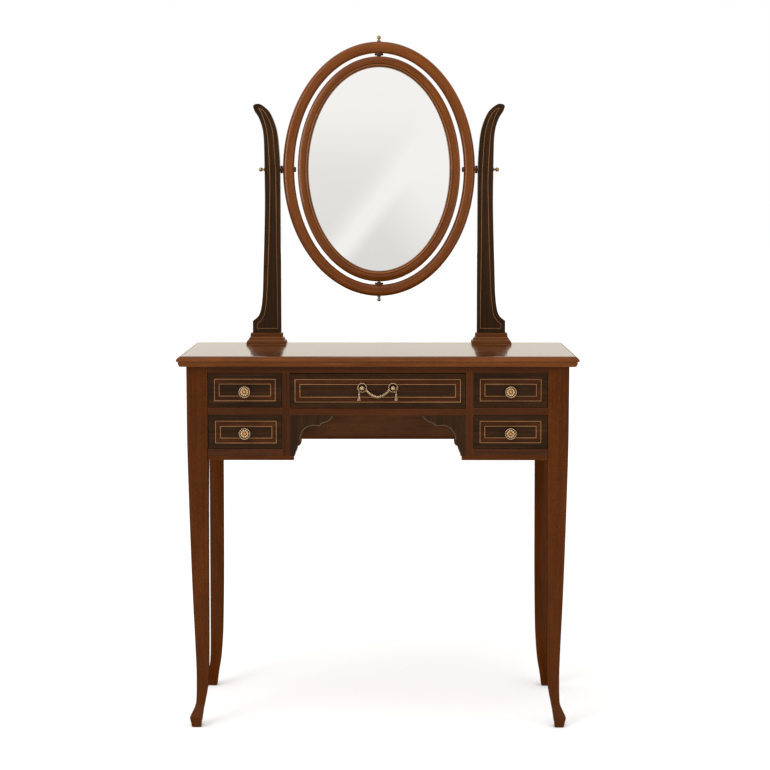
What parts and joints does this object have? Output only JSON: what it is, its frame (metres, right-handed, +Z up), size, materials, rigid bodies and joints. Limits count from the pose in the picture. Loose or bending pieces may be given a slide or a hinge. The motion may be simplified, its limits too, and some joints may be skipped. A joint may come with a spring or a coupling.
{
  "type": "dressing table",
  "caption": "Kneehole dressing table with inlaid drawers, sabre legs and an oval mirror that tilts between scrolled posts and swivels in its ring.",
  "frame": {"origin": "on the floor, under the middle of the table top", "axes": "+Z up, front of the table towards -Y, +X to the right as seen from the front"},
  "size_m": [0.84, 0.42, 1.4772],
  "materials": {
    "mahogany": "reddish-brown mahogany under glossy lacquer",
    "rosewood": "very dark rosewood veneer with light stringing, glossy lacquer",
    "drawer_wood": "plain pale wood, planed",
    "backing": "unpolished backing board",
    "brass": "polished brass, lightly aged",
    "antique_gold": "cast antique gold with dark recesses",
    "bronze": "dark patinated bronze",
    "mirror": "silvered glass"
  },
  "bodies": {
    "root": {"table_top": "mahogany", "front_left_leg": "mahogany", "front_right_leg": "mahogany", "rear_left_leg": "mahogany", "rear_right_leg": "mahogany", "left_side_panel": "mahogany", "right_side_panel": "mahogany", "left_partition": "mahogany", "right_partition": "mahogany", "back_panel": "mahogany", "back_bottom_rail": "mahogany", "front_top_rail": "mahogany", "left_divider_rail": "mahogany", "right_divider_rail": "mahogany", "centre_rail": "mahogany", "left_bottom_rail": "mahogany", "right_bottom_rail": "mahogany", "left_mid_board": "drawer_wood", "right_mid_board": "drawer_wood", "left_bottom_board": "drawer_wood", "right_bottom_board": "drawer_wood", "centre_board": "drawer_wood", "left_bracket": "rosewood", "right_bracket": "rosewood", "left_plinth": "mahogany", "right_plinth": "mahogany", "left_post": "rosewood", "right_post": "rosewood", "left_collar": "bronze", "right_collar": "bronze"},
    "left_upper_drawer": {"left_upper_drawer_front": "rosewood", "left_upper_drawer_box": "drawer_wood", "left_upper_knob": "antique_gold"},
    "left_lower_drawer": {"left_lower_drawer_front": "rosewood", "left_lower_drawer_box": "drawer_wood", "left_lower_knob": "antique_gold"},
    "right_upper_drawer": {"right_upper_drawer_front": "rosewood", "right_upper_drawer_box": "drawer_wood", "right_upper_knob": "antique_gold"},
    "right_lower_drawer": {"right_lower_drawer_front": "rosewood", "right_lower_drawer_box": "drawer_wood", "right_lower_knob": "antique_gold"},
    "centre_drawer": {"centre_drawer_front": "rosewood", "centre_drawer_box": "drawer_wood", "left_handle_rosette": "antique_gold", "right_handle_rosette": "antique_gold"},
    "handle": {"swag_handle": "antique_gold"},
    "mirror_ring": {"outer_ring": "mahogany", "left_pivot_nut": "bronze", "right_pivot_nut": "bronze", "top_spacer": "bronze", "bottom_spacer": "bronze"},
    "mirror": {"inner_frame": "mahogany", "mirror_glass": "mirror", "mirror_backing": "backing"},
    "left_thumb_screw": {"left_thumb_screw": "brass"},
    "right_thumb_screw": {"right_thumb_screw": "brass"},
    "top_finial_screw": {"top_finial_screw": "brass"},
    "bottom_finial_screw": {"bottom_finial_screw": "brass"}
  },
  "joints": [
    {"name": "left_upper_drawer_slide", "type": "slide", "parent": "root", "child": "left_upper_drawer", "axis": [0, -1, 0], "range_m": [0, 0.25]},
    {"name": "left_lower_drawer_slide", "type": "slide", "parent": "root", "child": "left_lower_drawer", "axis": [0, -1, 0], "range_m": [0, 0.25]},
    {"name": "right_upper_drawer_slide", "type": "slide", "parent": "root", "child": "right_upper_drawer", "axis": [0, -1, 0], "range_m": [0, 0.25]},
    {"name": "right_lower_drawer_slide", "type": "slide", "parent": "root", "child": "right_lower_drawer", "axis": [0, -1, 0], "range_m": [0, 0.25]},
    {"name": "centre_drawer_slide", "type": "slide", "parent": "root", "child": "centre_drawer", "axis": [0, -1, 0], "range_m": [0, 0.25]},
    {"name": "handle_swing", "type": "hinge", "parent": "centre_drawer", "child": "handle", "pos_m": [0, -0.2005, 0.7236], "axis": [-1, 0, 0], "range_deg": [0, 95]},
    {"name": "mirror_tilt", "type": "hinge", "parent": "root", "child": "mirror_ring", "pos_m": [0, 0.157, 1.1808], "axis": [1, 0, 0], "continuous": true},
    {"name": "mirror_swivel", "type": "hinge", "parent": "mirror_ring", "child": "mirror", "pos_m": [0, 0.157, 1.1808], "axis": [0, 0, 1], "continuous": true},
    {"name": "left_thumb_screw_turn", "type": "hinge", "parent": "root", "child": "left_thumb_screw", "pos_m": [0, 0.157, 1.1808], "axis": [1, 0, 0], "continuous": true},
    {"name": "right_thumb_screw_turn", "type": "hinge", "parent": "root", "child": "right_thumb_screw", "pos_m": [0, 0.157, 1.1808], "axis": [1, 0, 0], "continuous": true},
    {"name": "top_finial_screw_turn", "type": "hinge", "parent": "mirror_ring", "child": "top_finial_screw", "pos_m": [0, 0.157, 1.1808], "axis": [0, 0, 1], "continuous": true},
    {"name": "bottom_finial_screw_turn", "type": "hinge", "parent": "mirror_ring", "child": "bottom_finial_screw", "pos_m": [0, 0.157, 1.1808], "axis": [0, 0, 1], "continuous": true}
  ]
}
